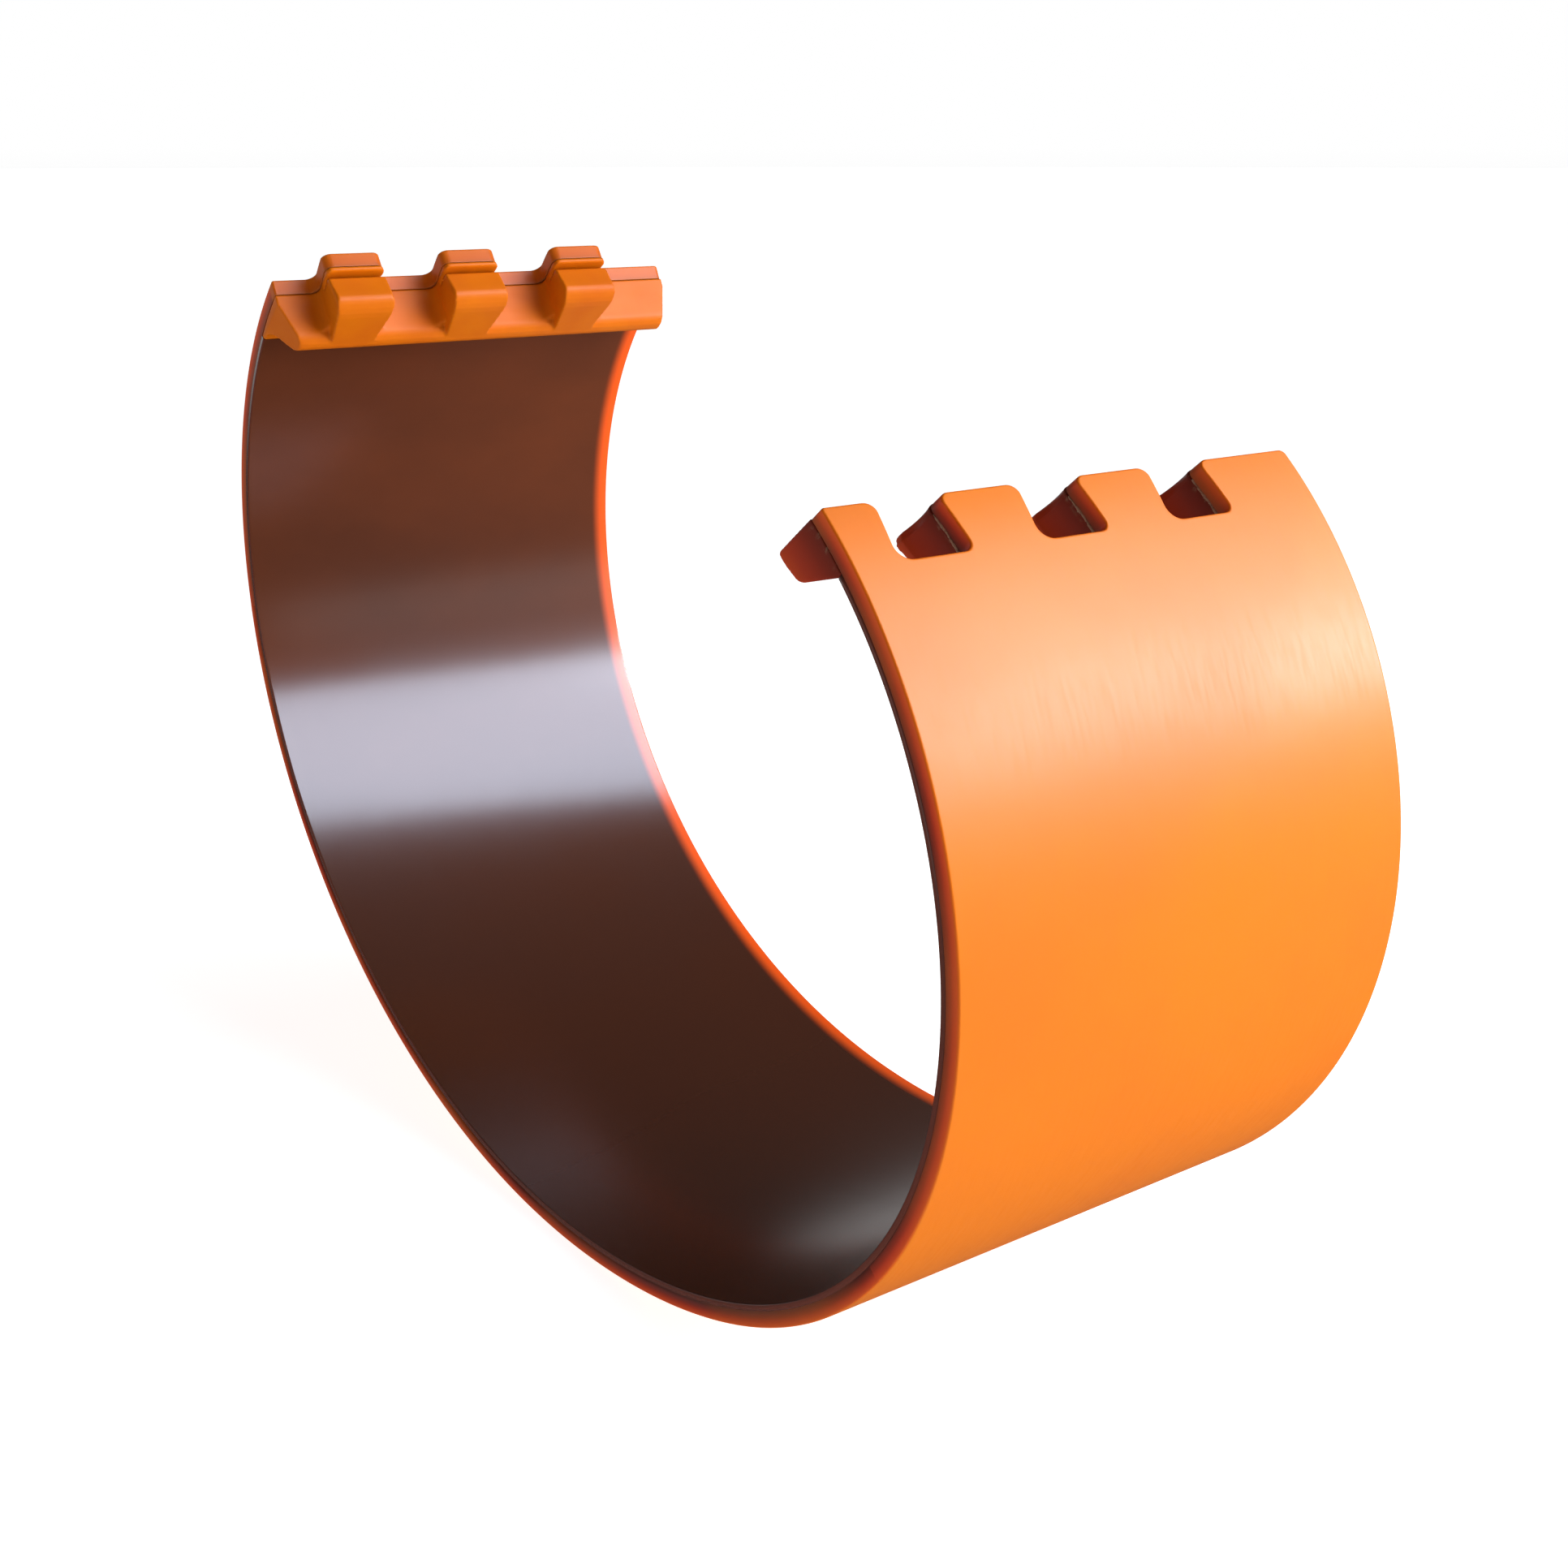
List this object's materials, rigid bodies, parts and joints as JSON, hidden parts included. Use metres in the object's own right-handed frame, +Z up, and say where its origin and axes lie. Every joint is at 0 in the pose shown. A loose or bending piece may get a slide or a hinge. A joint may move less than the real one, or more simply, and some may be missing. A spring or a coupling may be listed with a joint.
{
  "type": "rotary die cutter anvil cover",
  "caption": "Wide elastic two-ply band bent into an open C, with a dovetail finger lock and a notched lock on its ends, that wraps round a machine cylinder as a cutting anvil.",
  "frame": {"origin": "middle of the object's box in X and Y, at the lowest point of the band where it rests on the floor", "axes": "+Z up; Y along the ring's axis and the band's width; +X towards the end with the notches, with the end with the fingers on -X"},
  "size_m": [0.6868, 0.25, 0.4865],
  "materials": {
    "wear_urethane": "satin, slightly translucent cast polyurethane",
    "backing_urethane": "satin to glossy moulded inner face",
    "lock_urethane": "satin moulded polyurethane"
  },
  "bodies": {
    "finger_arm": {"wear_ply_finger_arm": "wear_urethane", "backing_ply_finger_arm": "backing_urethane", "finger_lock": "lock_urethane"},
    "station_1": {"wear_ply_station_1": "wear_urethane", "backing_ply_station_1": "backing_urethane"},
    "station_2": {"wear_ply_station_2": "wear_urethane", "backing_ply_station_2": "backing_urethane"},
    "station_3": {"wear_ply_station_3": "wear_urethane", "backing_ply_station_3": "backing_urethane"},
    "station_4": {"wear_ply_station_4": "wear_urethane", "backing_ply_station_4": "backing_urethane"},
    "station_5": {"wear_ply_station_5": "wear_urethane", "backing_ply_station_5": "backing_urethane"},
    "station_6": {"wear_ply_station_6": "wear_urethane", "backing_ply_station_6": "backing_urethane"},
    "station_7": {"wear_ply_station_7": "wear_urethane", "backing_ply_station_7": "backing_urethane"},
    "slot_arm": {"wear_ply_slot_arm": "wear_urethane", "backing_ply_slot_arm": "backing_urethane", "lock_tooth_1": "lock_urethane", "lock_tooth_2": "lock_urethane", "lock_tooth_3": "lock_urethane", "lock_tooth_4": "lock_urethane"}
  },
  "joints": [
    {"name": "finger_end_press", "type": "hinge", "parent": "station_1", "child": "finger_arm", "pos_m": [-0.32772, 0, 0.22774], "axis": [0, 1, 0], "range_deg": [-6, 9.5], "stiffness_Nm_per_rad": 48, "springref_deg": -0.33},
    {"name": "flex_1", "type": "hinge", "parent": "station_2", "child": "station_1", "pos_m": [-0.28205, 0, 0.14077], "axis": [0, 1, 0], "range_deg": [-1.54, 3.7], "stiffness_Nm_per_rad": 56, "springref_deg": 0.29},
    {"name": "flex_2", "type": "hinge", "parent": "station_3", "child": "station_2", "pos_m": [-0.21001, 0, 0.07342], "axis": [0, 1, 0], "range_deg": [-3.54, 8.53], "stiffness_Nm_per_rad": 56, "springref_deg": 1.4},
    {"name": "flex_3", "type": "hinge", "parent": "station_4", "child": "station_3", "pos_m": [-0.12166, 0, 0.02887], "axis": [0, 1, 0], "range_deg": [-5.02, 12.1], "stiffness_Nm_per_rad": 56, "springref_deg": 3.04},
    {"name": "band_wrap", "type": "hinge", "parent": "station_5", "child": "station_4", "pos_m": [-0.0247, 0, 0.00764], "axis": [0, 1, 0], "range_deg": [-6, 14.48], "stiffness_Nm_per_rad": 56, "springref_deg": 5.15},
    {"name": "flex_5", "type": "hinge", "parent": "station_5", "child": "station_6", "pos_m": [0.07462, 0, 0.00875], "axis": [0, -1, 0], "range_deg": [-6.21, 14.96], "stiffness_Nm_per_rad": 56, "springref_deg": 3.65},
    {"name": "flex_6", "type": "hinge", "parent": "station_6", "child": "station_7", "pos_m": [0.17146, 0, 0.03093], "axis": [0, -1, 0], "range_deg": [-4.44, 10.7], "stiffness_Nm_per_rad": 56, "springref_deg": 1.91},
    {"name": "flex_7", "type": "hinge", "parent": "station_7", "child": "slot_arm", "pos_m": [0.2581, 0, 0.07784], "axis": [0, -1, 0], "range_deg": [-1.29, 3.1], "stiffness_Nm_per_rad": 56, "springref_deg": 0.63}
  ],
  "couplings": [
    {"joint": "flex_1", "follows": "band_wrap", "ratio": 0.25345},
    {"joint": "flex_2", "follows": "band_wrap", "ratio": 0.58702},
    {"joint": "flex_3", "follows": "band_wrap", "ratio": 0.83356},
    {"joint": "flex_5", "follows": "band_wrap", "ratio": 1.0311},
    {"joint": "flex_6", "follows": "band_wrap", "ratio": 0.73688},
    {"joint": "flex_7", "follows": "band_wrap", "ratio": 0.21202}
  ]
}
